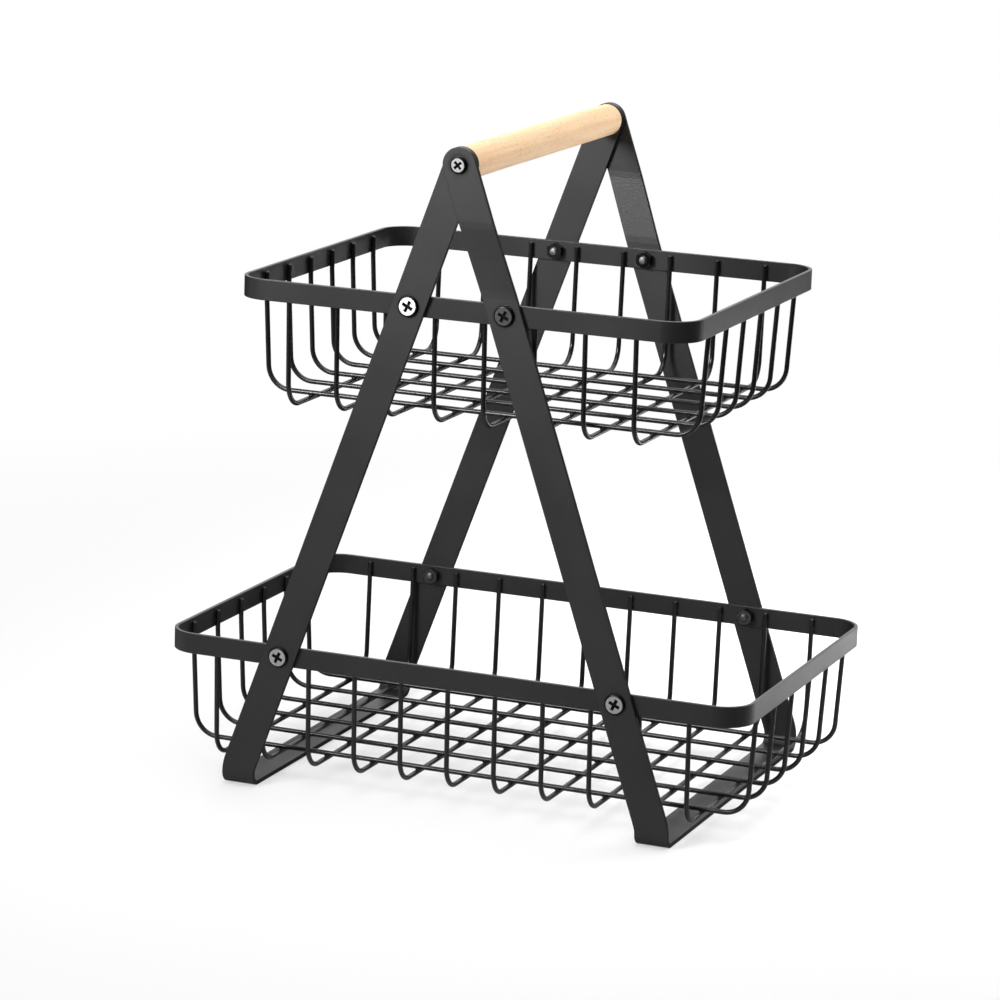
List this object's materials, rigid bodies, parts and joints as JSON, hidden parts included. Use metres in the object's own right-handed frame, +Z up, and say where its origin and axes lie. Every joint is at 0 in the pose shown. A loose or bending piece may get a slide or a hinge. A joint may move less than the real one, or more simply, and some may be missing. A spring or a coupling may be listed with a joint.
{
  "type": "tiered wire basket",
  "caption": "Tiered wire basket: open rectangular wire trays screwed to an A-shaped stand of bent flat steel straps, with a round wooden carrying handle.",
  "frame": {"origin": "on the floor, under the middle of the handle and of both baskets", "axes": "+X along the baskets to the right of the pictured front, +Y from front to back along the handle, +Z up"},
  "size_m": [0.4, 0.2704, 0.4311],
  "materials": {
    "strap_coat": "satin black powder coat",
    "rim_coat": "satin black powder coat",
    "wire_coat": "satin black powder coat",
    "handle_wood": "plain sanded beech",
    "screw_metal": "dark nickel plate",
    "nut_metal": "black zinc plate",
    "handle_screw_metal": "dark nickel plate"
  },
  "bodies": {
    "stand_and_baskets": {"left_frame": "strap_coat", "right_frame": "strap_coat", "upper_rim": "rim_coat", "lower_rim": "rim_coat", "upper_cross_wire_1": "wire_coat", "upper_cross_wire_2": "wire_coat", "upper_cross_wire_3": "wire_coat", "upper_cross_wire_4": "wire_coat", "upper_cross_wire_5": "wire_coat", "upper_cross_wire_6": "wire_coat", "upper_cross_wire_7": "wire_coat", "upper_cross_wire_8": "wire_coat", "upper_long_wire_1": "wire_coat", "upper_long_wire_2": "wire_coat", "upper_long_wire_3": "wire_coat", "upper_long_wire_4": "wire_coat", "upper_long_wire_5": "wire_coat", "upper_long_wire_6": "wire_coat", "lower_cross_wire_1": "wire_coat", "lower_cross_wire_2": "wire_coat", "lower_cross_wire_3": "wire_coat", "lower_cross_wire_4": "wire_coat", "lower_cross_wire_5": "wire_coat", "lower_cross_wire_6": "wire_coat", "lower_cross_wire_7": "wire_coat", "lower_cross_wire_8": "wire_coat", "lower_cross_wire_9": "wire_coat", "lower_cross_wire_10": "wire_coat", "lower_cross_wire_11": "wire_coat", "lower_long_wire_1": "wire_coat", "lower_long_wire_2": "wire_coat", "lower_long_wire_3": "wire_coat", "lower_long_wire_4": "wire_coat", "lower_long_wire_5": "wire_coat", "lower_long_wire_6": "wire_coat", "upper_basket_screws": "screw_metal", "lower_basket_screws": "screw_metal", "upper_basket_nuts": "nut_metal", "lower_basket_nuts": "nut_metal"},
    "grip": {"handle": "handle_wood", "handle_screws": "handle_screw_metal"}
  },
  "joints": [
    {"name": "grip_turn", "type": "hinge", "parent": "stand_and_baskets", "child": "grip", "pos_m": [0, 0, 0.42], "axis": [0, 1, 0], "continuous": true}
  ]
}
